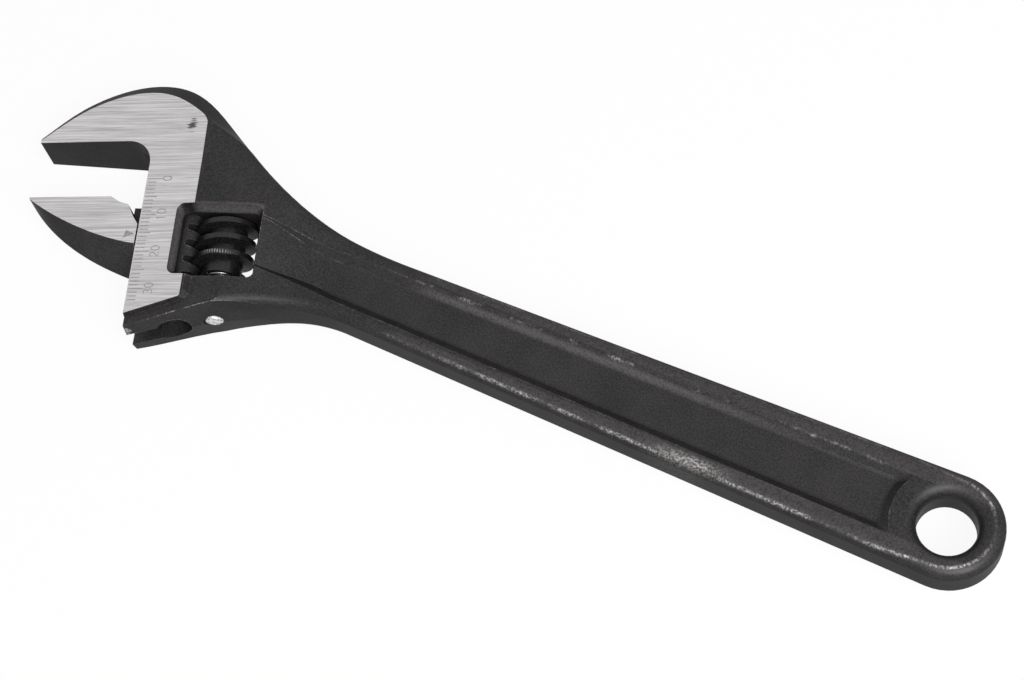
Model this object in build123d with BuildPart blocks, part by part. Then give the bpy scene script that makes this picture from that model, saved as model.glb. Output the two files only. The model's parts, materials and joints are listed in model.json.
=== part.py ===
import os
from math import atan, ceil, cos, floor, pi, radians, sin, sqrt, tan

from build123d import *

# Frame: hang hole at the origin, handle along X with the head towards -X, +Z out of the scale face.
# The jaws have their own plane, turned about Z, with x along the jaw faces and y along the slide.

os.makedirs("parts", exist_ok=True)

# Driving dimensions, in millimetres and degrees
jaw_angle = 21.0           # jaw faces turned from the handle's axis
throat_x = -209.8          # scale's zero on the edge of the slide strip, from the hang hole
throat_y = 4.0

handle_thick = 11.0
handle_half_end = 12.6     # half width of the handle at the hang hole
neck_half = 9.8            # half width where the handle is narrowest
neck_x = -140.0
shoulder_x = -148.0        # the lower edge curves away into the head here
thicken_x = -155.0         # the handle starts to thicken into the head here
hang_hole_r = 6.8
hang_land = 0.3            # flat left between the hang hole's rounded rim and the outer rounding
edge_round = 2.5           # rounding of the forging's outer edges

head_thick = 18.6          # forging, before the faces are ground
head_flat_x = -186.0       # the head's full thickness ends here
face_taper = 5.0           # ground faces thin the head towards the jaw tips
face_half_at_strip = 8.1   # half thickness of the ground head at the strip's edge

jaw_reach = 30.0           # jaw face length from the strip's edge
fixed_face_y = 10.76       # fixed jaw face above the scale's zero
jaw_opening = 15.46        # gap between the jaw faces as photographed
jaw_tip = 1.4              # height of the fixed jaw's blunt tip
throat_round = 6.4
closed_gap = 0.1           # left between the jaw faces when closed

crown_points = ((32.4, 0.8), (18.1, 16.8), (6.5, 26.7), (-5.8, 27.5), (-20.4, 20.9))
crown_end = (-0.45, -1)    # the crown's direction at the jaw tip
bevel_foot = 5.0           # the crown's bevel starts at this height above the parting line
bevel_width = 5.2          # and takes this much off the wall at the forging's full thickness
bevel_fade = (0.36, 0.66)  # along the crown from the neck, none and then the full bevel
bevel_margin = 0.3         # the cut starts this far outside the wall
bevel_step = 6.0           # spacing of the bevel's points along the crown

heel_start = -1.0          # heel corner, before the strip's edge is milled
heel_y = -40.0             # heel face, along the strip's edge
heel_slope = 16.2          # heel face turned from the jaw faces
heel_len = 21.0            # the heel's flat face, before it curves into the neck
heel_draft = 8.0           # both halves of the heel face lean in from the parting line
heel_fade = (35.4, -32.0)  # the draft has faded out where the neck passes this point
parting_band = 0.15
ledge_drop = 1.5           # heel ledge below the ground face
ledge_left = -36.9         # foot of the wall above the ledge, along the strip's edge
ledge_corner = (15.2, -31.7)
ledge_cut = 1.0            # the ledge's inner corner is cut off by this
ledge_lean = 0.3           # how far the wall above the ledge leans, per unit of height
ledge_side_lean = 0.75     # and how far it leans beside the window

bore_r = 4.4               # slide bore
bore_end_y = 13.5          # blind end of the slide bore, inside the head
slide_clearance = 0.1
slot_half = 2.7            # slot for the jaw's web
web_clearance = 0.3

window_left = 10.2         # the worm's window, below its flared rim
window_right = 29.5
window_top = -7.7
window_bottom = -25.8
window_round = 2.0
flare_foot = 5.9           # the rim flares out above this height
flare_left = 1.25          # and by these amounts at the forging's full thickness
flare_right = 1.35
flare_top = 0.9
flare_bottom = 0.25

worm_x = 20.0
worm_r = 7.5
worm_root_r = 5.0
worm_pitch = 4.3
worm_crest = 1.3
worm_flank = 10.0          # thread flanks lean by this angle
worm_top_gap = 0.3
worm_thread_len = 12.8
worm_hub_len = 2.0
thread_clearance = 0.25
rack_bottom_gap = 1.3      # the thread's crest to the bottom of the rack's grooves
thread_bite = 0.4          # the thread's foot reaches into the core
crest_at_left_y = -11.25   # a crest of the thread meets the rack at this height

pin_r = 2.4
pin_clearance = 0.06       # running fit of the worm on the pin
pin_hole_clearance = 0.02
pin_end_gap = 0.3
pin_seat = 9.0             # how far the pin goes into the head above the window
pin_dome = 0.5

spring_wire_r = 0.35
spring_r = 3.45            # middle of the wire
spring_turns = 5
spring_clearance = 0.3
spring_foot_gap = 0.1
spring_seat = 5.6          # depth of the spring's seat in the worm

slide_top_gap = -1.7       # top of the slide, above the movable jaw's face
slide_len = 28.9
web_top_drop = 0.6         # top of the web, below the movable jaw's face
web_root_len = 15.2        # the web joins the jaw over this length
jaw_side_gap = 0.4         # movable jaw to the strip's edge
relief = ((-8.6, 0), (-6.1, 1.6), (-3.7, 2.3), (-1.9, 5.6))   # inner corner cut back, below the face
relief_foot = 7.8
flank_tip_mid = 0.6        # lower flank below the jaw face, at the parting line
flank_mid = ((-23, 7.9), (-13.3, 14.3), (0, 19.7))
flank_tip_face = 0.3       # and at the forging's full thickness
flank_face = ((-23, 3.34), (-13.3, 7.7), (0, 12.0))

recess_depth = 1.6
recess_floor_half_end = 5.7
recess_floor_half_neck = 4.15
recess_wall = 52.0         # recess walls lean by this angle
recess_wall_head = 41.0    # and by this where they run out at the window
recess_land = 15.0         # recess floor ends this far from the hang hole
recess_corner_round = 1.5
recess_floor_round = 1.5
recess_head_x = -182.0     # the recess runs out at the window
recess_floor_half_head = 1.5
recess_top_drop = 0.3      # depth that is left where the head is at its full thickness

# Worked out
half_thick = handle_thick / 2
side_slope = (handle_half_end - neck_half) / -neck_x
head_half = head_thick / 2
movable_face_y = fixed_face_y - jaw_opening
face_slope = tan(radians(face_taper))
slide_r = bore_r - slide_clearance
web_half = slot_half - web_clearance
worm_top = window_top - worm_top_gap
worm_len = worm_thread_len + worm_hub_len
worm_bottom = worm_top - worm_len
spring_height = worm_bottom + spring_seat - window_bottom - spring_foot_gap - spring_clearance
spring_rise = (spring_height - 2 * spring_wire_r) / spring_turns
close_travel = jaw_opening - closed_gap
slot_top = movable_face_y - web_top_drop + close_travel + web_clearance
slide_top = movable_face_y - slide_top_gap
slide_bottom = slide_top - slide_len
web_top = movable_face_y - web_top_drop
bore_x = worm_x - worm_root_r - thread_clearance - slide_r     # the slide just clears the worm's core
lead_angle = atan(worm_pitch / (pi * (worm_r + worm_root_r)))
hang_rim_round = handle_half_end - edge_round - hang_hole_r - hang_land
overshoot = 30.0           # cutting tools reach past the metal by this
margin = 1.0               # cuts start, and faces are picked, this far past an edge

jaw_plane = Plane(
    origin=(throat_x, throat_y, 0),
    x_dir=(cos(radians(jaw_angle)), sin(radians(jaw_angle)), 0),
    z_dir=(0, 0, 1),
)
# The scale face: tilted about the slide's direction
ground_plane = Plane(
    origin=jaw_plane.from_local_coords(Vector(0, 0, face_half_at_strip)),
    x_dir=jaw_plane.x_dir + jaw_plane.z_dir * face_slope,
    z_dir=jaw_plane.z_dir - jaw_plane.x_dir * face_slope,
)
# Seen along the slide: x along the jaw faces, y up out of the scale face
across_slide = Plane(origin=jaw_plane.origin, x_dir=jaw_plane.x_dir, z_dir=-jaw_plane.y_dir)


def jaw_point(x, y, z=0.0):
    return jaw_plane.from_local_coords(Vector(x, y, z))


def along_slide(x, y):
    # A plane square to the slide's travel, facing the fixed jaw, at a jaw point
    return Plane(origin=jaw_point(x, y), x_dir=jaw_plane.x_dir, z_dir=jaw_plane.y_dir)


def heel_at(x):
    return heel_y + x * tan(radians(heel_slope))


def face_half(x):
    return face_half_at_strip + x * face_slope


def handle_half(x):
    return handle_half_end + x * side_slope


# Space outside both ground faces, shared by the forging and the movable jaw
with BuildPart() as ground_off:
    far = 2 * jaw_reach
    for side in (1, -1):
        with BuildSketch(across_slide):
            Polygon(
                (-far, side * face_half(-far)),
                (far, side * face_half(far)),
                (far, side * far),
                (-far, side * far),
                align=None,
            )
        extrude(amount=far, both=True)

# Handle recess on the scale side: a drafted pocket whose floor follows the neck up to the window
with BuildPart() as recess:
    floor_z = half_thick - recess_depth
    for x, half, lean in (
        (recess_head_x, recess_floor_half_head, recess_wall_head),
        (thicken_x, recess_floor_half_neck, recess_wall),
        (0, recess_floor_half_end, recess_wall),
    ):
        recess_spread = head_half * tan(radians(lean))
        with BuildSketch(Plane.YZ.offset(x)):
            Polygon(
                (-half, floor_z),
                (half, floor_z),
                (half + recess_spread, floor_z + head_half),
                (-half - recess_spread, floor_z + head_half),
                align=None,
            )
    loft(ruled=True)
    with Locations((0, 0, floor_z)):
        Cone(
            bottom_radius=recess_land,
            top_radius=recess_land - recess_depth * tan(radians(recess_wall)),
            height=recess_depth,
            align=(Align.CENTER, Align.CENTER, Align.MIN),
            mode=Mode.SUBTRACT,
        )
    with Locations((0, 0, half_thick)):
        Cylinder(
            recess_land - recess_depth * tan(radians(recess_wall)),
            head_thick,
            align=(Align.CENTER, Align.CENTER, Align.MIN),
            mode=Mode.SUBTRACT,
        )
    with BuildSketch(Plane.XZ):
        with BuildLine():
            floor_line = Line((0, floor_z), (thicken_x, floor_z))
            rise = Spline(
                floor_line @ 1,
                (head_flat_x, head_half - recess_top_drop),
                tangents=((-1, 0), (-1, 0)),
            )
            Polyline(
                rise @ 1,
                (head_flat_x - overshoot, head_half - recess_top_drop),
                (head_flat_x - overshoot, head_thick),
                (0, head_thick),
                (0, floor_z),
            )
        make_face()
    extrude(amount=overshoot, both=True, mode=Mode.INTERSECT)
    end_corners = recess.edges().filter_by(
        lambda e: e.bounding_box().size.Z > recess_depth / 2
        and e.center().X > -recess_land
        and e.center().Z < half_thick
    )
    fillet(end_corners, recess_corner_round)
    recess_floor = recess.faces().filter_by(Plane.XY).sort_by(Axis.Z)[0]
    fillet(recess_floor.edges().filter_by(GeomType.LINE, reverse=True), recess_floor_round)

# Outline of the forging, seen from the scale side
heel_corner = jaw_point(heel_start, heel_at(heel_start))
heel_end = jaw_point(heel_len, heel_at(heel_len))
tip_top = jaw_point(-jaw_reach, fixed_face_y + jaw_tip)
with BuildSketch() as outline:
    with BuildLine():
        Line(heel_corner, heel_end)
        south_neck = Spline(
            heel_end,
            jaw_point(*heel_fade),
            (shoulder_x, -handle_half(shoulder_x)),
            tangents=(heel_end - heel_corner, (1, -side_slope)),
        )
        south = Line(south_neck @ 1, (0, -handle_half_end))
        end = TangentArc(south @ 1, (0, handle_half_end), tangent=(1, -side_slope))
        north = Line(end @ 1, (neck_x, neck_half))
        crown = Spline(
            north @ 1,
            *[jaw_point(x, y) for x, y in crown_points],
            tip_top,
            tangents=((-1, -side_slope), crown_end),
        )
        Polyline(tip_top, jaw_point(-jaw_reach, heel_at(heel_start)), heel_corner)
    make_face()


def beside_crown(along, inset):
    # A point square to the crown's wall, given as a share of the way along it
    run = crown % along
    return crown @ along + Vector(-run.Y, run.X) * inset


def bevel_inset(along):
    # Smooth step from outside the wall to the full bevel
    share = min(max((along - bevel_fade[0]) / (bevel_fade[1] - bevel_fade[0]), 0), 1)
    return (bevel_width + bevel_margin) * share * share * (3 - 2 * share) - bevel_margin


# Metal taken off the head's edges on the scale side: crown bevel, heel draft, heel ledge, window rim
with BuildPart() as edges_off:
    bevel_spots = ceil(crown.length * (1 - bevel_fade[0]) / bevel_step)
    shares = [bevel_fade[0] + (1 - bevel_fade[0]) * k / bevel_spots for k in range(bevel_spots + 1)]
    bevel_start_z = bevel_foot - bevel_margin * (head_half - bevel_foot) / bevel_width
    bevel_feet = [beside_crown(along, -bevel_margin) for along in shares]
    bevel_tops = [beside_crown(along, bevel_inset(along)) for along in shares]
    for height, points in ((bevel_start_z, bevel_feet), (head_half, bevel_tops)):
        with BuildSketch(Plane.XY.offset(height)):
            with BuildLine():
                bevel = Spline(*points)
                Polyline(
                    bevel @ 1,
                    jaw_point(-jaw_reach - overshoot, fixed_face_y),
                    jaw_point(-jaw_reach - overshoot, 2 * overshoot),
                    jaw_point(2 * overshoot, 2 * overshoot),
                    bevel @ 0,
                )
            make_face()
    loft(ruled=True)
    left = heel_start - margin
    for height, inset in ((0, -parting_band), (head_half, head_half * tan(radians(heel_draft)))):
        with BuildSketch(jaw_plane.offset(height)):
            with BuildLine():
                draft = Spline(
                    (left, heel_at(left) + inset),
                    (heel_len / 2, heel_at(heel_len / 2) + inset),
                    (heel_len, heel_at(heel_len) + inset),
                    (heel_fade[0], heel_fade[1] - parting_band),
                )
                Polyline(
                    draft @ 1,
                    (heel_fade[0], heel_y - overshoot),
                    (left, heel_y - overshoot),
                    draft @ 0,
                )
            make_face()
    loft(ruled=True)
    corner_x, corner_y = ledge_corner
    ledge_slope = (corner_y - ledge_left) / corner_x
    for lift in (-ledge_drop, ledge_drop):
        lean = (lift + ledge_drop) * ledge_lean
        side_x = corner_x - (lift + ledge_drop) * ledge_side_lean
        with BuildSketch(ground_plane.offset(lift)):
            Polygon(
                (left, ledge_left + left * ledge_slope + lean),
                (side_x - ledge_cut, ledge_left + (side_x - ledge_cut) * ledge_slope + lean),
                (side_x, corner_y + ledge_cut + lean),
                (side_x, window_bottom + window_round),
                (2 * overshoot, window_bottom + window_round),
                (2 * overshoot, heel_y - overshoot),
                (left, heel_y - overshoot),
                align=None,
            )
    loft(ruled=True)
    for height, share in ((flare_foot, 0), (head_half, 1)):
        with BuildSketch(jaw_plane.offset(height)):
            with Locations((window_left - share * flare_left, window_bottom - share * flare_bottom)):
                rim = Rectangle(
                    window_right - window_left + share * (flare_left + flare_right),
                    window_top - window_bottom + share * (flare_top + flare_bottom),
                    align=(Align.MIN, Align.MIN),
                )
            fillet(rim.vertices(), window_round)
    loft(ruled=True)

# Forged body with the fixed jaw
with BuildPart() as wrench_body:
    add(outline.sketch)
    extrude(amount=head_half, both=True)
    with BuildSketch(Plane.XZ):
        with BuildLine():
            top = Line((overshoot, half_thick), (thicken_x, half_thick))
            shoulder = Spline(
                top @ 1,
                (head_flat_x, head_half),
                tangents=((-1, 0), (-1, 0)),
            )
            Polyline(
                shoulder @ 1,
                (throat_x - 2 * jaw_reach, head_half),
                (throat_x - 2 * jaw_reach, 0),
                (overshoot, 0),
                top @ 0,
            )
        make_face()
        mirror(about=Plane.XZ)
    extrude(amount=2 * overshoot, both=True, mode=Mode.INTERSECT)
    outer_walls = wrench_body.faces().filter_by(
        lambda f: abs(f.normal_at().Z) < 0.1
        and jaw_plane.to_local_coords(f.center()).X > -jaw_reach + margin
        and jaw_plane.to_local_coords(f.center()).Y > heel_at(heel_start) + margin
    )
    rims = outer_walls.edges().filter_by(lambda e: abs((e % 0.5).Z) < 0.7 and abs(e.center().Z) > 1)
    fillet(rims, edge_round)

    # Sides of the head ground flat, and the jaw gap milled out with its round throat
    add(ground_off.part, mode=Mode.SUBTRACT)
    with BuildSketch(jaw_plane):
        with BuildLine():
            FilletPolyline(
                (0, heel_y - overshoot),
                (0, fixed_face_y),
                (-jaw_reach - overshoot, fixed_face_y),
                radius=throat_round,
            )
            Polyline(
                (-jaw_reach - overshoot, fixed_face_y),
                (-jaw_reach - overshoot, heel_y - overshoot),
                (0, heel_y - overshoot),
            )
        make_face()
    extrude(amount=head_thick, both=True, mode=Mode.SUBTRACT)

    # Crown bevel, heel draft, heel ledge and window rim, alike on both sides
    add(edges_off.part, mode=Mode.SUBTRACT)
    add(edges_off.part.mirror(Plane.XY), mode=Mode.SUBTRACT)

    # Slide bore with the slot that the movable jaw's web runs in
    with BuildSketch(along_slide(bore_x, bore_end_y)):
        Circle(bore_r)
    extrude(amount=heel_y - bore_end_y - overshoot, mode=Mode.SUBTRACT)
    with BuildSketch(along_slide(bore_x, slot_top)):
        Rectangle(bore_x + overshoot, 2 * slot_half, align=(Align.MAX, Align.CENTER))
    extrude(amount=heel_y - slot_top - overshoot, mode=Mode.SUBTRACT)

    # Worm window, right through the head, and the pin's hole from the heel into the head
    with BuildSketch(jaw_plane):
        with Locations((window_left, window_bottom)):
            opening = Rectangle(
                window_right - window_left,
                window_top - window_bottom,
                align=(Align.MIN, Align.MIN),
            )
        fillet(opening.vertices(), window_round)
    extrude(amount=head_thick, both=True, mode=Mode.SUBTRACT)
    with BuildSketch(along_slide(worm_x, window_top + pin_seat)):
        Circle(pin_r + pin_hole_clearance)
    extrude(amount=heel_y - window_top - pin_seat, mode=Mode.SUBTRACT)

    # Handle recesses on both faces, and the hang hole with its rounded rims
    add(recess.part, mode=Mode.SUBTRACT)
    add(recess.part.mirror(Plane.XY), mode=Mode.SUBTRACT)
    with Locations((0, 0, half_thick)):
        Hole(hang_hole_r, depth=handle_thick)
    hang_rims = wrench_body.edges().filter_by(GeomType.CIRCLE).filter_by(
        lambda e: abs(e.radius - hang_hole_r) < 0.01 and e.center().length < handle_thick
    )
    fillet(hang_rims, hang_rim_round)

# Movable jaw: ground jaw with drafted flanks, a web through the slot and a toothed round slide
with BuildPart() as movable_jaw:
    jaw_right = -jaw_side_gap
    for height, tip, flank in (
        (0, flank_tip_mid, flank_mid),
        (head_half, flank_tip_face, flank_face),
    ):
        with BuildSketch(jaw_plane.offset(height)):
            with BuildLine():
                Polyline(
                    (-jaw_reach, movable_face_y - tip),
                    (-jaw_reach, movable_face_y),
                    *[(x, movable_face_y - drop) for x, drop in relief],
                    (jaw_right, movable_face_y - relief_foot),
                    (jaw_right, movable_face_y - flank[-1][1]),
                )
                Spline(
                    (jaw_right, movable_face_y - flank[-1][1]),
                    *[(x, movable_face_y - drop) for x, drop in reversed(flank[:-1])],
                    (-jaw_reach, movable_face_y - tip),
                )
            make_face()
    loft(ruled=True)
    mirror(about=Plane.XY)
    add(ground_off.part, mode=Mode.SUBTRACT)
    web_left = relief[2][0]
    for left, foot in ((web_left, web_top - web_root_len), (web_clearance, slide_bottom)):
        with BuildSketch(along_slide(left, web_top)):
            Rectangle(bore_x - left, 2 * web_half, align=(Align.MIN, Align.CENTER))
        extrude(amount=foot - web_top)
    with BuildSketch(along_slide(bore_x, slide_top)):
        Circle(slide_r)
    extrude(amount=slide_bottom - slide_top)
    # Rack: straight grooves turned by the thread's lead angle
    groove_floor_x = worm_x - worm_r - rack_bottom_gap
    groove_half = worm_crest / 2 + thread_clearance - rack_bottom_gap * tan(radians(worm_flank))
    groove_depth = bore_r
    groove_mouth = groove_half + groove_depth * tan(radians(worm_flank))
    groove_axis = jaw_plane.z_dir + jaw_plane.y_dir * tan(lead_angle)
    first_groove = floor((slide_bottom - crest_at_left_y) / worm_pitch)
    last_groove = ceil((slide_top - crest_at_left_y) / worm_pitch)
    for number in range(first_groove, last_groove + 1):
        groove_plane = Plane(
            origin=jaw_point(groove_floor_x, crest_at_left_y + number * worm_pitch),
            x_dir=jaw_plane.x_dir,
            z_dir=groove_axis,
        )
        with BuildSketch(groove_plane):
            Polygon(
                (0, -groove_half),
                (groove_depth, -groove_mouth),
                (groove_depth, groove_mouth),
                (0, groove_half),
                align=None,
            )
        extrude(amount=2 * bore_r, both=True, mode=Mode.SUBTRACT)

# Worm, made upright on its own axis: a right-hand thread on a plain hub, with the spring's seat below
with BuildPart() as worm_shape:
    thread_start = (crest_at_left_y - worm_bottom - worm_pitch / 2) % worm_pitch - worm_pitch
    turns = int((worm_len - thread_start) / worm_pitch) + 2
    with BuildLine():
        thread_path = Helix(
            pitch=worm_pitch,
            height=turns * worm_pitch,
            radius=worm_root_r,
            center=(0, 0, thread_start),
        )
    with BuildSketch(Plane(origin=thread_path @ 0, x_dir=(1, 0, 0), z_dir=thread_path % 0)):
        thread_height = worm_r - worm_root_r
        thread_foot = worm_crest / 2 + (thread_height + thread_bite) * tan(radians(worm_flank))
        Polygon(
            (-thread_bite, -thread_foot),
            (thread_height, -worm_crest / 2),
            (thread_height, worm_crest / 2),
            (-thread_bite, thread_foot),
            align=None,
        )
    sweep(path=thread_path, is_frenet=True)
    with Locations((0, 0, worm_hub_len)):
        Cylinder(
            2 * worm_r,
            worm_thread_len,
            align=(Align.CENTER, Align.CENTER, Align.MIN),
            mode=Mode.INTERSECT,
        )
    Cylinder(worm_root_r, worm_len, align=(Align.CENTER, Align.CENTER, Align.MIN))
    Cylinder(
        pin_r + pin_clearance,
        worm_len,
        align=(Align.CENTER, Align.CENTER, Align.MIN),
        mode=Mode.SUBTRACT,
    )
    Cylinder(
        spring_r + spring_wire_r + spring_clearance,
        spring_seat,
        align=(Align.CENTER, Align.CENTER, Align.MIN),
        mode=Mode.SUBTRACT,
    )
adjusting_worm = along_slide(worm_x, worm_bottom) * worm_shape.part

# Pin: flush with the heel, with a slightly domed end
with BuildPart() as worm_pin:
    with BuildSketch(along_slide(worm_x, window_top + pin_seat - pin_end_gap)):
        Circle(pin_r)
    extrude(amount=heel_at(worm_x) - window_top - pin_seat + pin_end_gap)
    chamfer(worm_pin.edges().filter_by(GeomType.CIRCLE), pin_dome)

# Spring round the pin, between the window's lower wall and the seat in the worm
def helix_point(turn):
    angle = 2 * pi * turn
    return Vector(spring_r * cos(angle), spring_r * sin(angle), spring_rise * turn)


def helix_tangent(turn):
    angle = 2 * pi * turn
    ring = 2 * pi * spring_r
    return Vector(-ring * sin(angle), ring * cos(angle), spring_rise).normalized()


with BuildPart() as spring_shape:
    with BuildLine() as spring_path:
        for quarter in range(4 * spring_turns):
            start, stop = helix_point(quarter / 4), helix_point((quarter + 1) / 4)
            leave, arrive = helix_tangent(quarter / 4), helix_tangent((quarter + 1) / 4)
            # Two arcs of one tangent length, found from a quadratic, meet halfway
            across = stop - start
            bend = 2 * (1 - leave.dot(arrive))
            pull = across.dot(leave + arrive)
            reach = (sqrt(pull * pull + bend * across.dot(across)) - pull) / bend
            joint = (start + leave * reach + stop - arrive * reach) * 0.5
            first = TangentArc(start, joint, tangent=leave)
            TangentArc(joint, stop, tangent=first % 1)
    with BuildSketch(Plane(origin=helix_point(0), z_dir=helix_tangent(0))):
        Circle(spring_wire_r)
    sweep(path=spring_path.wire())
worm_spring = along_slide(worm_x, window_bottom + spring_foot_gap + spring_wire_r) * spring_shape.part
steps = 48
turn_points = [helix_point(k / steps) for k in range(steps * spring_turns + 1)]
least_gap = min(
    (turn_points[i] - turn_points[j]).length
    for i in range(len(turn_points))
    for j in range(i + steps // 2, len(turn_points))
) - 2 * spring_wire_r
print(f"least gap between the spring's turns {least_gap:.2f} mm")

for name, solid in (
    ("wrench_body", wrench_body.part),
    ("movable_jaw", movable_jaw.part),
    ("adjusting_worm", adjusting_worm),
    ("worm_pin", worm_pin.part),
    ("worm_spring", worm_spring),
):
    solid.label = name
    export_step(solid, f"parts/{name}.step")
    print(f"{name}: {len(solid.solids())} solid, {solid.volume:.1f} mm3, valid {solid.is_valid}")
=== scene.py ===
import json
from math import atan2, cos, degrees, pi, radians, sin, tan

import bpy
import numpy as np
from mathutils import Matrix, Vector


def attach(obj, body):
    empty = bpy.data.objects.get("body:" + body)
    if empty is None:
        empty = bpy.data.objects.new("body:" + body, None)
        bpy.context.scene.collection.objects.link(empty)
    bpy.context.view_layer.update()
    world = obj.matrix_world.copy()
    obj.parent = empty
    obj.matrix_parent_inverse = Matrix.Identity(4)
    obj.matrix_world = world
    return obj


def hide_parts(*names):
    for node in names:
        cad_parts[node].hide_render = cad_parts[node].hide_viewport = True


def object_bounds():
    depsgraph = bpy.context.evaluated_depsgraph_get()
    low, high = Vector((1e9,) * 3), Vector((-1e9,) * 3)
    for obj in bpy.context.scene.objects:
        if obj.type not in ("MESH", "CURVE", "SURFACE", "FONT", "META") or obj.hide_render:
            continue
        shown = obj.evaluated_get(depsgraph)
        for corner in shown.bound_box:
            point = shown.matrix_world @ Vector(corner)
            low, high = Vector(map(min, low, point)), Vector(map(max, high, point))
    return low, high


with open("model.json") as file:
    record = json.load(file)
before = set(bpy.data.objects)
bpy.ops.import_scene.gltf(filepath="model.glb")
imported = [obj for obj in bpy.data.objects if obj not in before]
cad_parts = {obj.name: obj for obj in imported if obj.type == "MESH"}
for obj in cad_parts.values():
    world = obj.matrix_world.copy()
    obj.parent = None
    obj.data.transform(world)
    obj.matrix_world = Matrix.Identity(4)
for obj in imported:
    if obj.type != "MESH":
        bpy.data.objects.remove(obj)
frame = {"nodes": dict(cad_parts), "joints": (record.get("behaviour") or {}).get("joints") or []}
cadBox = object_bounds()
scene = bpy.context.scene
scene.view_settings.view_transform = "Standard"
mm = 0.001

# The jaws' own frame: x along the jaw faces, y along the slide, z out of the scale face
slideAxis = next(j["axis"] for j in frame["joints"] if j["name"] == "jaw_slide")
jaws = {
    "origin": (-209.8, 4.0, 0.0),           # the scale's zero on the edge of the slide strip
    "turn": atan2(slideAxis[0], -slideAxis[1]),
    "faceHalf": 8.1,                        # half thickness of the ground head at the strip's edge
    "faceSlope": tan(radians(5.0)),         # the ground faces rise towards the handle
}
handle = {
    "halfEnd": 12.6,                        # half width at the hang hole
    "taper": 0.02,
    "neck": (-140.0, -128.0),               # wear and lands fade in here
}


def toRow(points):
    # Jaw millimetres to metres of the row: turned about Z, then moved to the scale's zero
    c, s = cos(jaws["turn"]), sin(jaws["turn"])
    turn = np.array([[c, s, 0.0], [-s, c, 0.0], [0.0, 0.0, 1.0]])
    return (np.asarray(points, float) @ turn + np.array(jaws["origin"])) * mm


def pieceFrom(name, vertices, faces, material, smooth=False):
    mesh = bpy.data.meshes.new(name)
    mesh.from_pydata(np.asarray(vertices).tolist(), [], [list(f) for f in faces])
    mesh.polygons.foreach_set("use_smooth", np.full(len(mesh.polygons), smooth))
    mesh.materials.append(material)
    mesh.update()
    piece = bpy.data.objects.new(name, mesh)
    scene.collection.objects.link(piece)
    return piece


# Shorthands for shader nodes

def blankMaterial(name):
    material = bpy.data.materials.new(name)
    material.use_nodes = True
    return material, material.node_tree, material.node_tree.nodes["Principled BSDF"]


def add(tree, kind, values=None, **settings):
    made = tree.nodes.new(kind)
    for key, value in settings.items():
        setattr(made, key, value)
    for socket, value in (values or {}).items():
        if isinstance(value, bpy.types.NodeSocket):
            tree.links.new(value, made.inputs[socket])
        else:
            made.inputs[socket].default_value = value
    return made


def calc(tree, operation, a, b=0.0, c=0.0):
    return add(tree, "ShaderNodeMath", {0: a, 1: b, 2: c}, operation=operation).outputs[0]


def hypotenuse(tree, a, b):
    squares = calc(tree, "ADD", calc(tree, "MULTIPLY", a, a), calc(tree, "MULTIPLY", b, b))
    return calc(tree, "SQRT", squares)


def ramp(tree, value, low, high, start=0.0, end=1.0):
    # Eases from start to end while value goes from low to high
    values = {"Value": value, "From Min": low, "From Max": high, "To Min": start, "To Max": end}
    return add(tree, "ShaderNodeMapRange", values, interpolation_type="SMOOTHSTEP").outputs[0]


def band(tree, value, middle, half):
    # One at the middle, easing to nothing at half on either side
    return ramp(tree, calc(tree, "ABSOLUTE", calc(tree, "SUBTRACT", value, middle)), 0.0, half, 1.0, 0.0)


def noise(tree, vector, scale, detail=3.0, roughness=0.55):
    values = {"Vector": vector, "Scale": scale, "Detail": detail, "Roughness": roughness}
    return add(tree, "ShaderNodeTexNoise", values).outputs["Fac"]


def stretch(tree, vector, scale):
    return add(tree, "ShaderNodeMapping", {"Vector": vector, "Scale": scale}).outputs[0]


def mixColour(tree, share, first, second):
    values = {"Factor": share, 6: first, 7: second}
    return add(tree, "ShaderNodeMix", values, data_type="RGBA").outputs[2]


def grey(level, tint=(1.0, 1.0, 1.0)):
    return tuple(level * t for t in tint) + (1.0,)


def millimetres(tree, origin=(0.0, 0.0, 0.0), turn=0.0):
    # Object coordinates in millimetres, from an origin of its own and turned about Z
    values = {
        "Vector": add(tree, "ShaderNodeTexCoord").outputs["Object"],
        "Location": tuple(v * mm for v in origin),
        "Rotation": (0.0, 0.0, turn),
        "Scale": (mm, mm, mm),
    }
    return add(tree, "ShaderNodeMapping", values, vector_type="TEXTURE").outputs[0]


def axes(tree, vector):
    return add(tree, "ShaderNodeSeparateXYZ", {0: vector}).outputs


def onHandle(tree, along):
    return ramp(tree, along, *handle["neck"])


slantSteps = (0.12, 0.62)


def slantGloss(tree, square, slanted):
    # Gloss seen square on, easing to another at a slant
    slant = add(tree, "ShaderNodeLayerWeight", {"Blend": 0.5}).outputs["Facing"]
    return ramp(tree, slant, *slantSteps, square, slanted)


def raiseBumps(tree, shader, height):
    bump = add(tree, "ShaderNodeBump", {"Strength": 1.0, "Distance": 1.0, "Height": height})
    tree.links.new(bump.outputs[0], shader.inputs["Normal"])


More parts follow.
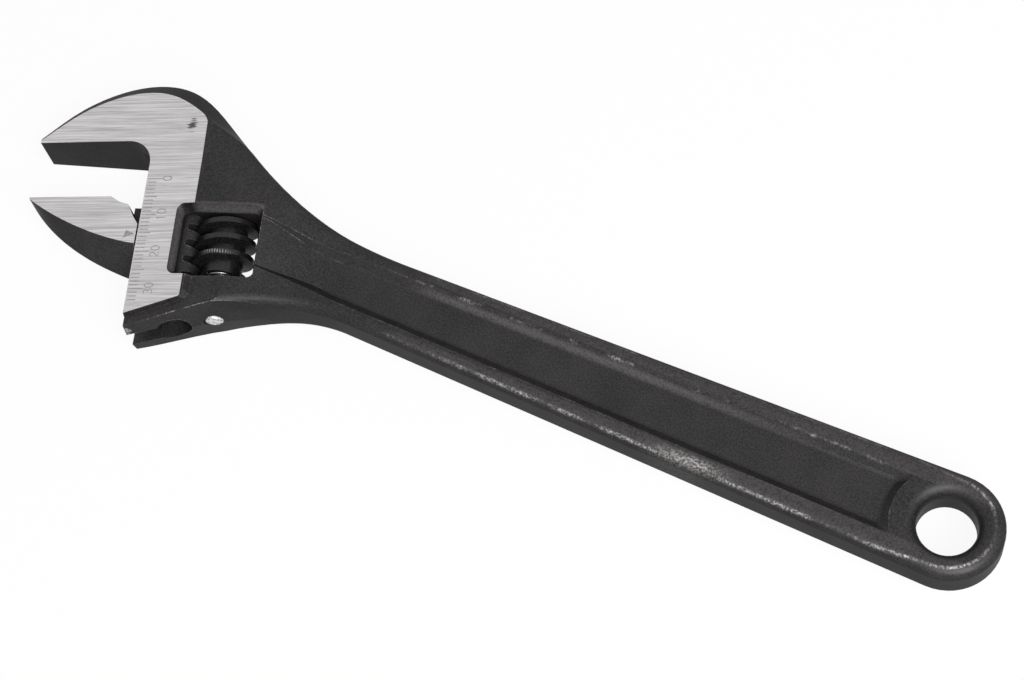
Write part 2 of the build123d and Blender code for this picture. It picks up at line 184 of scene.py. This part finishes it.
oxideTint = (1.06, 0.97, 1.0)
oxide = {
    "dark": grey(0.006, oxideTint),
    "pale": grey(0.020, oxideTint),
    "rubbed": grey(0.085, oxideTint),       # where the oxide is thin, and painted light on lit slopes
    "worn": grey(0.44, (1.0, 0.96, 0.94)),  # where it is gone
    "roughness": (0.40, 0.54),
    "gloss": (0.27, 0.06),                  # seen square on, and at a slant
    "grain": 2.3,                           # grains per millimetre
    "grainDepth": 0.026,                    # millimetres
    "grainGloss": (0.8, 1.2),               # gloss between and on the grains
    "cloud": 0.10,                          # clouds per millimetre
    "cloudShare": 0.35,
}
ground = {
    "dull": grey(0.37, (1.0, 0.965, 0.98)),
    "bright": grey(0.65, (1.0, 0.97, 0.985)),
    "roughness": (0.30, 0.42),
    "lines": (0.06, 3.6, 0.06),             # grinding lines run along the jaw faces
    "lineDepth": 0.003,                     # millimetres
    "border": (-0.045, -0.015),             # depth below the grinding plane at which the oxide is left
    "uneven": 0.09,                         # how far the lines fray that border
    "corner": ((8.0, 14.3), 5.35, 1.6),     # round end of the border at the crown: middle, radius and start
    "edge": (13.45, 0.02),                  # border beside the window, and how it drifts down the slide
    "fade": 0.12,                           # width of the border's blur
    "missed": ((9.4, 15.3), (2.9, 3.4)),    # a spot that the wheel barely touched, and its reach
    "missedLines": (0.18, 1.9, 0.1),
    "missedSteps": (0.78, 0.94, 0.0, 0.9),  # from this to that the spot darkens, from nothing to its share
}
# Wear of the oxide, and painted light on the window's slopes and the recess's far slope
wearAndLitSlopes = {
    "patches": 0.13,                        # patches per millimetre
    "specks": 1.9,                          # specks per millimetre
    "speckSteps": (0.42, 0.62, 0.06, 0.8),
    "edgeRadius": 0.35,                     # edges sharper than this are rubbed
    "edgeTurn": (0.99, 0.92),               # cosine of the turn from which an edge counts, and counts fully
    "edgePatches": (0.48, 0.64, 0.15, 0.8),
    "shoulder": (1.0, 2.2, 0.6),            # line in from the outline: on the handle, at the end, half width
    "shoulderTurn": (-14.0, 4.0),           # between these the line moves in
    "shoulderFar": (14.0, 2.0, 0.15, 1.0),  # the far side is less worn
    "shoulderPatches": (0.40, 0.60, 0.15, 1.1),
    "ridge": (7.75, 0.01, 0.65),            # recess's edge: place at the hole, taper, half width of the line
    "ridgeEnd": (-16.0, -13.0),
    "ridgePatches": (0.50, 0.64),
    "patch": ((-58.0, -9.6), (13.0, 2.2)),  # scuffed patch on the near land, and its reach
    "lands": (7.0, 7.8, 0.26),              # from here outwards the handle's lands are paler, and by how much
    "landUp": (4.6, 5.3),
    "farSlope": (6.5, 1.3, 0.75),           # painted light on the recess's far slope: place at the hole, half width and strength
    "farSlopeStart": (-20.0, -75.0),
    # In the jaws' frame: painted light on the slopes beside and above the window, by middle and half width,
    # start and end
    "windowSide": ((9.6, 1.1), (-26.5, -25.5), (-8.0, -7.0)),
    "windowTop": ((-7.4, 1.4), (12.0, 15.0), (29.5, 31.5)),
    "windowUp": (5.6, 6.4),
    # In the jaws' frame: scraped stretches of edge and a dented corner by middle, reach and strength
    "scrapes": (((17.6, -34.0, 8.3), 3.4, 2.0), ((11.5, -35.5, 7.5), 1.6, 2.0)),
    "dent": ((0.3, -39.5, 4.2), 1.5, 1.6),
}


def groundShare(tree, place, lines):
    # How much of the surface is bare steel: on the two grinding planes, up to a round corner at the crown
    x, y, z = axes(tree, place)
    faceZ = calc(tree, "MULTIPLY_ADD", x, jaws["faceSlope"], jaws["faceHalf"])
    depth = calc(tree, "SUBTRACT", calc(tree, "ABSOLUTE", z), faceZ)
    frayed = calc(tree, "MULTIPLY", calc(tree, "SUBTRACT", lines, 0.5), ground["uneven"])
    bare = ramp(tree, calc(tree, "ADD", depth, frayed), *ground["border"])
    (cornerX, cornerY), cornerRadius, cornerStart = ground["corner"]
    edgeX, drift = ground["edge"]
    overX = calc(tree, "MAXIMUM", calc(tree, "SUBTRACT", x, cornerX), 0.0)
    overY = calc(tree, "MAXIMUM", calc(tree, "SUBTRACT", y, cornerY), 0.0)
    past = calc(tree, "SUBTRACT", hypotenuse(tree, overX, overY), cornerRadius)
    low = calc(tree, "GREATER_THAN", calc(tree, "MULTIPLY", overX, cornerStart), overY)
    aboveCorner = calc(tree, "MULTIPLY", past, low)
    beside = calc(tree, "SUBTRACT", calc(tree, "MULTIPLY_ADD", y, drift, x), edgeX)
    over = calc(tree, "MAXIMUM", aboveCorner, beside)
    bare = calc(tree, "MULTIPLY", bare, ramp(tree, over, 0.0, ground["fade"], 1.0, 0.0))
    (missX, missY), (reachX, reachY) = ground["missed"]
    spot = calc(tree, "MULTIPLY", band(tree, x, missX, reachX), band(tree, y, missY, reachY))
    streaks = noise(tree, stretch(tree, place, ground["missedLines"]), 1.0, 2.0)
    missed = ramp(tree, calc(tree, "MULTIPLY_ADD", spot, 0.5, streaks), *ground["missedSteps"])
    return calc(tree, "MULTIPLY", bare, calc(tree, "SUBTRACT", 1.0, missed))


def nearby(tree, place, middle, reach, strength):
    # Full strength about a middle, easing to nothing at its reach
    away = add(tree, "ShaderNodeVectorMath", {0: place, 1: middle}, operation="DISTANCE").outputs["Value"]
    return ramp(tree, away, 0.5 * reach, reach, strength, 0.0)


def wornShare(tree, row, place):
    # How much of the oxide is rubbed off: edges, the handle's shoulder and ridge, a scuffed patch
    x, y = axes(tree, row)[:2]
    patchy = noise(tree, row, wearAndLitSlopes["patches"], 4.0, 0.6)
    specks = noise(tree, row, wearAndLitSlopes["specks"], 3.0, 0.7)
    corner = add(tree, "ShaderNodeBevel", {"Radius": wearAndLitSlopes["edgeRadius"] * mm}, samples=4).outputs[0]
    flat = add(tree, "ShaderNodeNewGeometry").outputs["Normal"]
    turned = add(tree, "ShaderNodeVectorMath", {0: corner, 1: flat}, operation="DOT_PRODUCT").outputs["Value"]
    scraped = ramp(tree, patchy, *wearAndLitSlopes["edgePatches"])
    for scrape in wearAndLitSlopes["scrapes"]:
        scraped = calc(tree, "MAXIMUM", scraped, nearby(tree, place, *scrape))
    edge = calc(tree, "MULTIPLY", ramp(tree, turned, *wearAndLitSlopes["edgeTurn"]), scraped)
    edge = calc(tree, "MAXIMUM", edge, nearby(tree, place, *wearAndLitSlopes["dent"]))

    pastHole = calc(tree, "MAXIMUM", x, 0.0)
    reach = hypotenuse(tree, pastHole, y)
    width = calc(tree, "MULTIPLY_ADD", calc(tree, "MINIMUM", x, 0.0), handle["taper"], handle["halfEnd"])
    insetHandle, insetEnd, lineHalf = wearAndLitSlopes["shoulder"]
    inset = calc(tree, "ADD", reach, ramp(tree, x, *wearAndLitSlopes["shoulderTurn"], insetHandle, insetEnd))
    shoulder = band(tree, calc(tree, "SUBTRACT", width, inset), 0.0, lineHalf)
    farSide = calc(tree, "SUBTRACT", y, pastHole)
    shoulder = calc(tree, "MULTIPLY", shoulder, ramp(tree, farSide, *wearAndLitSlopes["shoulderFar"]))
    shoulder = calc(tree, "MULTIPLY", shoulder, ramp(tree, patchy, *wearAndLitSlopes["shoulderPatches"]))
    ridgeHalf, ridgeTaper, ridgeWidth = wearAndLitSlopes["ridge"]
    ridgeY = calc(tree, "MULTIPLY_ADD", x, ridgeTaper, ridgeHalf)
    ridge = band(tree, calc(tree, "SUBTRACT", y, ridgeY), 0.0, ridgeWidth)
    ridge = calc(tree, "MULTIPLY", ridge, ramp(tree, x, *wearAndLitSlopes["ridgeEnd"], 1.0, 0.0))
    ridge = calc(tree, "MULTIPLY", ridge, ramp(tree, patchy, *wearAndLitSlopes["ridgePatches"]))
    (patchX, patchY), (spreadX, spreadY) = wearAndLitSlopes["patch"]
    patch = calc(tree, "MULTIPLY", band(tree, x, patchX, spreadX), band(tree, y, patchY, spreadY))
    lines = calc(tree, "MAXIMUM", shoulder, calc(tree, "MAXIMUM", ridge, patch))
    lines = calc(tree, "MULTIPLY", lines, onHandle(tree, x))

    rubbed = calc(tree, "MAXIMUM", lines, edge)
    rubbed = calc(tree, "MULTIPLY", rubbed, ramp(tree, specks, *wearAndLitSlopes["speckSteps"]))
    return calc(tree, "MINIMUM", rubbed, 1.0)


def rimSlope(tree, across, along, middle, start, end):
    share = calc(tree, "MULTIPLY", band(tree, across, *middle), ramp(tree, along, *start))
    return calc(tree, "MULTIPLY", share, ramp(tree, along, *end, 1.0, 0.0))


def thinShare(tree, row, place):
    # The oxide is thin on the handle's lands; painted light pales the window's slopes and the recess's far
    # slope
    x, y, z = axes(tree, place)
    # Painted light: the window's slopes beside and above it are paler where they face the light
    side = rimSlope(tree, x, y, *wearAndLitSlopes["windowSide"])
    top = rimSlope(tree, y, x, *wearAndLitSlopes["windowTop"])
    outside = ramp(tree, calc(tree, "ABSOLUTE", z), *wearAndLitSlopes["windowUp"])
    litRims = calc(tree, "MULTIPLY", calc(tree, "MAXIMUM", side, top), outside)

    along, across, up = axes(tree, row)
    landIn, landOut, landShare = wearAndLitSlopes["lands"]
    land = ramp(tree, calc(tree, "ABSOLUTE", across), landIn, landOut, 0.0, landShare)
    land = calc(tree, "MULTIPLY", land, ramp(tree, calc(tree, "ABSOLUTE", up), *wearAndLitSlopes["landUp"]))
    # Painted light: the recess's far slope, which faces the light, is paler
    slopeY, slopeHalf, slopeShare = wearAndLitSlopes["farSlope"]
    middleY = calc(tree, "MULTIPLY_ADD", along, wearAndLitSlopes["ridge"][1], slopeY)
    litSlope = band(tree, calc(tree, "SUBTRACT", across, middleY), 0.0, slopeHalf)
    litSlope = calc(tree, "MULTIPLY", litSlope, ramp(tree, along, *wearAndLitSlopes["farSlopeStart"], 0.0, slopeShare))
    landsAndLitSlope = calc(tree, "MULTIPLY", calc(tree, "MAXIMUM", land, litSlope), onHandle(tree, along))
    return calc(tree, "MAXIMUM", litRims, landsAndLitSlope)


def forgedSteel(name):
    # Black oxide on the forging, bright steel where the head's sides are ground, worn edges, and painted
    # light on slopes that face the light
    material, tree, shader = blankMaterial(name)
    place = millimetres(tree, jaws["origin"], jaws["turn"])
    row = millimetres(tree)
    lines = noise(tree, stretch(tree, place, ground["lines"]), 1.0, 5.0, 0.7)
    bare = groundShare(tree, place, lines)
    worn = wornShare(tree, row, place)

    grain = noise(tree, row, oxide["grain"], 4.0, 0.65)
    cloud = noise(tree, row, oxide["cloud"], 3.0, 0.6)
    mottled = calc(tree, "ADD", calc(tree, "MULTIPLY", grain, 1 - oxide["cloudShare"]),
                   calc(tree, "MULTIPLY", cloud, oxide["cloudShare"]))
    black = mixColour(tree, ramp(tree, mottled, 0.34, 0.66), oxide["dark"], oxide["pale"])
    # Paler where the oxide is thin on the lands, and painted light on the lit slopes
    thinOrLit = calc(tree, "MULTIPLY", thinShare(tree, row, place), ramp(tree, grain, 0.3, 0.6, 0.4, 1.0))
    black = mixColour(tree, thinOrLit, black, oxide["rubbed"])
    black = mixColour(tree, worn, black, oxide["worn"])
    steel = mixColour(tree, ramp(tree, lines, 0.32, 0.68), ground["dull"], ground["bright"])
    tree.links.new(mixColour(tree, bare, black, steel), shader.inputs["Base Color"])
    tree.links.new(calc(tree, "MAXIMUM", bare, worn), shader.inputs["Metallic"])

    oxideRough = ramp(tree, grain, 0.3, 0.7, *oxide["roughness"])
    steelRough = ramp(tree, lines, 0.3, 0.7, *ground["roughness"])
    rough = add(tree, "ShaderNodeMix", {"Factor": bare, 2: oxideRough, 3: steelRough}).outputs[0]
    tree.links.new(rough, shader.inputs["Roughness"])
    grainGloss = ramp(tree, grain, 0.35, 0.65, *oxide["grainGloss"])
    gloss = calc(tree, "MULTIPLY", slantGloss(tree, *oxide["gloss"]), grainGloss)
    tree.links.new(gloss, shader.inputs["Specular IOR Level"])
    oxideHeight = calc(tree, "MULTIPLY", grain, oxide["grainDepth"] * mm)
    steelHeight = calc(tree, "MULTIPLY", lines, ground["lineDepth"] * mm)
    height = add(tree, "ShaderNodeMix", {"Factor": bare, 2: oxideHeight, 3: steelHeight}).outputs[0]
    raiseBumps(tree, shader, height)
    return material


worm = {
    "wornY": (-18.75, 0.75),                # the crest that thumbs have rubbed, and its half width
    "wornX": (20.4, 5.0),
    "wornUp": (5.8, 7.2),
    "dark": grey(0.005),
    "pale": grey(0.012),
    "worn": grey(0.30),
    "roughness": (0.26, 0.40),
    "gloss": (0.34, 0.03),                  # seen square on, and at a slant
    "grain": 1.6,                           # grains per millimetre
    "grainDepth": 0.010,                    # millimetres
    "knurl": {"Scale": 0.5, "Distortion": 3.5, "Detail": 3.0},
}


def oiledWorm():
    material, tree, shader = blankMaterial("oiledWorm")
    place = millimetres(tree, jaws["origin"], jaws["turn"])
    x, y, z = axes(tree, place)
    grain = noise(tree, place, worm["grain"], 4.0)
    waves = {"Vector": place, **worm["knurl"]}
    knurl = add(tree, "ShaderNodeTexWave", waves, bands_direction="X").outputs["Fac"]
    rubbed = calc(tree, "MULTIPLY", band(tree, y, *worm["wornY"]), band(tree, x, *worm["wornX"]))
    rubbed = calc(tree, "MULTIPLY", rubbed, ramp(tree, z, *worm["wornUp"]))
    rubbed = calc(tree, "MULTIPLY", rubbed, ramp(tree, calc(tree, "ADD", knurl, grain), 0.85, 1.35))
    black = mixColour(tree, ramp(tree, grain, 0.35, 0.65), worm["dark"], worm["pale"])
    tree.links.new(mixColour(tree, rubbed, black, worm["worn"]), shader.inputs["Base Color"])
    tree.links.new(rubbed, shader.inputs["Metallic"])
    tree.links.new(ramp(tree, grain, 0.3, 0.7, *worm["roughness"]), shader.inputs["Roughness"])
    tree.links.new(slantGloss(tree, *worm["gloss"]), shader.inputs["Specular IOR Level"])
    raiseBumps(tree, shader, calc(tree, "MULTIPLY", grain, worm["grainDepth"] * mm))
    return material


pin = {"scratches": 1.7, "dark": grey(0.20), "pale": grey(0.80), "roughness": (0.30, 0.48)}


def brightPin():
    material, tree, shader = blankMaterial("brightPin")
    scratch = noise(tree, millimetres(tree), pin["scratches"], 5.0, 0.75)
    colour = mixColour(tree, ramp(tree, scratch, 0.36, 0.62), pin["dark"], pin["pale"])
    tree.links.new(colour, shader.inputs["Base Color"])
    tree.links.new(ramp(tree, scratch, 0.3, 0.7, *pin["roughness"]), shader.inputs["Roughness"])
    shader.inputs["Metallic"].default_value = 1.0
    return material


finishes = {
    "wrench_body": forgedSteel("forgedBody"),
    "movable_jaw": forgedSteel("forgedJaw"),
    "adjusting_worm": oiledWorm(),
    "worm_pin": brightPin(),
}
for nodeName, finish in finishes.items():
    nodeMesh = frame["nodes"][nodeName].data
    nodeMesh.materials.clear()
    nodeMesh.materials.append(finish)
print("finishes on", len(finishes), "CAD nodes")


etching = {"specks": 3.5, "roughness": (0.45, 0.65), "metallic": 0.7}


def etchedMark(name, dark, pale):
    material, tree, shader = blankMaterial(name)
    speck = noise(tree, millimetres(tree), etching["specks"], 4.0, 0.7)
    tree.links.new(mixColour(tree, ramp(tree, speck, 0.35, 0.65), dark, pale), shader.inputs["Base Color"])
    tree.links.new(ramp(tree, speck, 0.3, 0.7, *etching["roughness"]), shader.inputs["Roughness"])
    shader.inputs["Metallic"].default_value = etching["metallic"]
    return material


# Millimetre scale on the ground face: every stroke is a flat strip carried along its path
scaleMarks = {
    "lengthMm": 33,
    "start": 0.3,                       # strokes start this far from the strip's edge
    "ends": {"one": 2.6, "five": 3.4, "ten": 4.0},
    "stroke": 0.24,
    "proud": 0.012,
    "sunk": 0.05,
    "numeralX": 5.3,                    # middle of the numerals, from the strip's edge
    "numeralHeight": 2.2,
    "numeralWidth": 1.15,
    "numeralSpacing": 1.75,
    "dark": grey(0.19),
    "pale": grey(0.36),
}


def strip(path, width, proud, sunk):
    # A rectangle of that width, from sunk below to proud above the ground face, carried along a path in
    # its plane: each side is the path moved square to its own direction by half the width
    path = np.asarray(path, float)
    run = np.gradient(path, axis=0)
    run /= np.linalg.norm(run, axis=1, keepdims=True)
    side = np.column_stack((-run[:, 1], run[:, 0])) * width / 2
    flatSides = np.concatenate((path + side, path - side))
    faceZ = jaws["faceHalf"] + jaws["faceSlope"] * flatSides[:, :1]
    top = np.hstack((flatSides, faceZ + proud))
    bottom = np.hstack((flatSides, faceZ - sunk))
    count = len(path)
    i = np.arange(count - 1)
    leftTop, rightTop, leftFoot, rightFoot = i, i + count, i + 2 * count, i + 3 * count
    quads = np.vstack((
        np.column_stack((leftTop, rightTop, rightTop + 1, leftTop + 1)),
        np.column_stack((leftFoot, leftFoot + 1, rightFoot + 1, rightFoot)),
        np.column_stack((leftFoot, leftTop, leftTop + 1, leftFoot + 1)),
        np.column_stack((rightTop, rightFoot, rightFoot + 1, rightTop + 1)),
        [(0, 2 * count, 3 * count, count), (count - 1, 2 * count - 1, 4 * count - 1, 3 * count - 1)],
    ))
    return np.vstack((top, bottom)), quads


def arc(middleX, middleY, radiusX, radiusY, start, end, count=14):
    turn = np.radians(np.linspace(start, end, count))
    return np.column_stack((middleX + radiusX * np.cos(turn), middleY + radiusY * np.sin(turn)))


def digitStrokes(digit):
    # Strokes of one numeral in a box one unit high and one unit wide about its middle
    if digit == "0":
        return [arc(0, 0, 0.5, 0.5, 90, 450, 28)]
    if digit == "1":
        return [[(-0.28, 0.28), (0.08, 0.5), (0.08, -0.5)]]
    if digit == "2":
        return [np.vstack((arc(0, 0.22, 0.46, 0.28, 165, -35), [(-0.46, -0.48), (0.5, -0.48)]))]
    return [np.vstack((arc(-0.02, 0.25, 0.44, 0.25, 150, -80), arc(-0.02, -0.24, 0.48, 0.26, 80, -150)))]


def numeralPaths(number):
    # Read with the handle to the right: the text runs towards the fixed jaw, its tops to the jaw gap
    digits = str(number)
    paths = []
    for place, digit in enumerate(digits):
        along = (place - (len(digits) - 1) / 2) * scaleMarks["numeralSpacing"]
        for stroke in digitStrokes(digit):
            stroke = np.asarray(stroke, float)
            x = scaleMarks["numeralX"] - stroke[:, 1] * scaleMarks["numeralHeight"]
            y = -number + along + stroke[:, 0] * scaleMarks["numeralWidth"]
            paths.append(np.column_stack((x, y)))
    return paths


def markScale():
    paths = []
    for tick in range(scaleMarks["lengthMm"] + 1):
        kind = "ten" if tick % 10 == 0 else "five" if tick % 5 == 0 else "one"
        paths.append([(scaleMarks["start"], -tick), (scaleMarks["ends"][kind], -tick)])
    for number in range(0, scaleMarks["lengthMm"], 10):
        paths += numeralPaths(number)
    vertices, faces, base = [], [], 0
    for path in paths:
        points, quads = strip(path, scaleMarks["stroke"], scaleMarks["proud"], scaleMarks["sunk"])
        vertices.append(points)
        faces.append(quads + base)
        base += len(points)
    finish = etchedMark("etchedScale", scaleMarks["dark"], scaleMarks["pale"])
    piece = pieceFrom("scaleMarks", toRow(np.vstack(vertices)), np.vstack(faces), finish)
    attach(piece, "frame")
    return piece


# Pointer on the movable jaw: a small triangle that shows the opening on the scale
pointer = {
    "corners": ((-0.7, -15.2), (-3.0, -14.1), (-3.6, -16.3)),   # the tip first, then against the clock
    "proud": 0.012,
    "sunk": 0.05,
    "dark": grey(0.20, (1.0, 0.87, 0.80)),
    "pale": grey(0.38, (1.0, 0.92, 0.87)),
}


def markPointer():
    corners = np.array(pointer["corners"])
    faceZ = jaws["faceHalf"] + jaws["faceSlope"] * corners[:, :1]
    top = np.hstack((corners, faceZ + pointer["proud"]))
    bottom = np.hstack((corners, faceZ - pointer["sunk"]))
    faces = [(0, 1, 2), (5, 4, 3), (0, 3, 4, 1), (1, 4, 5, 2), (2, 5, 3, 0)]
    finish = etchedMark("etchedPointer", pointer["dark"], pointer["pale"])
    piece = pieceFrom("pointerMark", toRow(np.vstack((top, bottom))), faces, finish)
    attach(piece, "jaw")
    return piece


# Spring round the pin, under the worm
coil = {
    "axisX": 20.0,
    "footY": -25.35,          # middle of the wire where the spring starts
    "radius": 3.45,           # middle of the wire
    "wire": 0.35,
    "turns": 5,
    "rise": 1.5,              # for each turn
    "around": 14,
    "perTurn": 56,
    "scratches": 4.0,         # per millimetre
    "dark": grey(0.22),
    "pale": grey(0.50),
    "roughness": (0.25, 0.45),
}


def drawnWire():
    material, tree, shader = blankMaterial("drawnWire")
    scratch = noise(tree, millimetres(tree), coil["scratches"], 4.0, 0.6)
    tree.links.new(mixColour(tree, scratch, coil["dark"], coil["pale"]), shader.inputs["Base Color"])
    tree.links.new(ramp(tree, scratch, 0.3, 0.7, *coil["roughness"]), shader.inputs["Roughness"])
    shader.inputs["Metallic"].default_value = 1.0
    return material


def windSpring():
    # The wire's middle runs on a helix: round the pin's axis by the radius, rising evenly. Its round section
    # lies square to the path, spanned by the outward radius and the binormal, and ends in a dome
    turn = np.linspace(0, coil["turns"], coil["turns"] * coil["perTurn"] + 1)
    dome = coil["wire"] / (2 * pi * coil["radius"])          # one wire radius, in turns
    capStep = dome * (1 - np.cos(np.linspace(0, pi / 2, 7)[1:-1]))
    turn = np.concatenate((turn[:1], capStep, turn[1:-1], coil["turns"] - capStep[::-1], turn[-1:]))
    turn = np.unique(turn)
    fromEnd = np.minimum(turn, coil["turns"] - turn) / dome
    thick = coil["wire"] * np.sqrt(1 - np.clip(1 - fromEnd, 0, 1) ** 2)
    angle = 2 * pi * turn
    out = np.column_stack((np.cos(angle), np.zeros_like(angle), -np.sin(angle)))
    ahead = np.column_stack((-np.sin(angle), np.zeros_like(angle), -np.cos(angle))) * 2 * pi * coil["radius"]
    ahead[:, 1] = coil["rise"]
    ahead /= np.linalg.norm(ahead, axis=1, keepdims=True)
    upward = np.cross(ahead, out)
    middle = out * coil["radius"]
    middle[:, 1] = coil["rise"] * turn
    spin = np.linspace(0, 2 * pi, coil["around"], endpoint=False)
    ring = out[:, None] * np.cos(spin)[None, :, None] + upward[:, None] * np.sin(spin)[None, :, None]
    rings = (middle[:, None] + ring * thick[:, None, None])[1:-1]     # the two ends are single points
    count, around = len(rings), coil["around"]
    points = np.vstack((rings.reshape(-1, 3), middle[:1], middle[-1:]))
    points += np.array([coil["axisX"], coil["footY"], 0.0])
    grid = np.arange(count * around).reshape(count, around)
    nextRound = np.roll(grid, -1, axis=1)
    quads = np.stack((grid[:-1], nextRound[:-1], nextRound[1:], grid[1:]), axis=-1).reshape(-1, 4)
    footFan = np.column_stack((nextRound[0], grid[0], np.full(around, count * around)))
    headFan = np.column_stack((grid[-1], nextRound[-1], np.full(around, count * around + 1)))
    faces = [*quads.tolist(), *footFan.tolist(), *headFan.tolist()]
    piece = pieceFrom("springCoil", toRow(points), faces, drawnWire(), smooth=True)
    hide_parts("worm_spring")
    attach(piece, "frame")
    return piece


for piece in (markScale(), markPointer(), windSpring()):
    print(piece.name, len(piece.data.polygons), "faces")

# Floor, light and camera
floorLook = {"below": 0.0005, "size": 4.0, "colour": grey(0.75), "glow": 0.93}
light = {
    "worldLevel": 0.25,
    "place": (0.60, -0.45, 1.05),
    "aim": (-0.11, 0.0, 0.0),
    "size": 0.8,
    "power": 26.0,
}
view = {
    "place": (0.0412, -0.1740, 0.4818),
    "azimuth": -40.43,
    "elevation": 64.17,
    "roll": 15.53,
    "focalPixels": 2269.0,
    "imagePixels": 1024.0,
    "sensor": 36.0,
}


def seenDirectly(tree):
    rays = add(tree, "ShaderNodeLightPath").outputs
    seen = calc(tree, "ADD", rays["Is Camera Ray"], rays["Is Glossy Ray"])
    return calc(tree, "MINIMUM", calc(tree, "ADD", seen, rays["Is Transmission Ray"]), 1.0)


def layFloor():
    low = cadBox[0].z - floorLook["below"]
    half = floorLook["size"] / 2
    corners = [(-half, -half, low), (half, -half, low), (half, half, low), (-half, half, low)]
    material, tree, shader = blankMaterial("paleFloor")
    shader.inputs["Base Color"].default_value = floorLook["colour"]
    shader.inputs["Roughness"].default_value = 1.0
    shader.inputs["Specular IOR Level"].default_value = 0.0
    glow = add(tree, "ShaderNodeEmission", {"Color": grey(1.0), "Strength": 1.0})
    share = calc(tree, "MULTIPLY", seenDirectly(tree), floorLook["glow"])
    both = add(tree, "ShaderNodeMixShader", {0: share, 1: shader.outputs[0], 2: glow.outputs[0]})
    tree.links.new(both.outputs[0], tree.nodes["Material Output"].inputs["Surface"])
    floor = pieceFrom("studioFloor", corners, [(0, 1, 2, 3)], material)


def lightStudio():
    world = bpy.data.worlds.new("studioWorld")
    world.use_nodes = True
    tree = world.node_tree
    level = ramp(tree, seenDirectly(tree), 0.0, 1.0, light["worldLevel"], 1.0)
    sky = tree.nodes["Background"]
    sky.inputs["Color"].default_value = grey(1.0)
    tree.links.new(level, sky.inputs["Strength"])
    scene.world = world
    data = bpy.data.lights.new("keyLamp", "AREA")
    data.size = light["size"]
    data.energy = light["power"]
    lamp = bpy.data.objects.new("keyLamp", data)
    lamp.location = light["place"]
    lamp.rotation_euler = (Vector(light["aim"]) - lamp.location).to_track_quat("-Z", "Y").to_euler()
    scene.collection.objects.link(lamp)


def placeCamera():
    # Looks along the view's azimuth and down by its elevation, then rolls about that line
    azimuth, elevation, roll = (radians(view[k]) for k in ("azimuth", "elevation", "roll"))
    ahead = Vector((sin(azimuth) * cos(elevation), cos(azimuth) * cos(elevation), -sin(elevation)))
    level = Vector((cos(azimuth), -sin(azimuth), 0.0))
    down = ahead.cross(level)
    right = level * cos(roll) + down * sin(roll)
    up = level * sin(roll) - down * cos(roll)
    data = bpy.data.cameras.new("photoCamera")
    data.sensor_width = view["sensor"]
    data.lens = view["focalPixels"] * view["sensor"] / view["imagePixels"]
    camera = bpy.data.objects.new("photoCamera", data)
    turn = Matrix((right, up, -ahead)).transposed().to_4x4()
    camera.matrix_world = Matrix.Translation(view["place"]) @ turn
    scene.collection.objects.link(camera)
    scene.camera = camera


layFloor()
lightStudio()
placeCamera()
print("stage and camera, lens", round(scene.camera.data.lens, 1), "mm")
print("jaws turned by", round(degrees(jaws["turn"]), 1), "degrees")
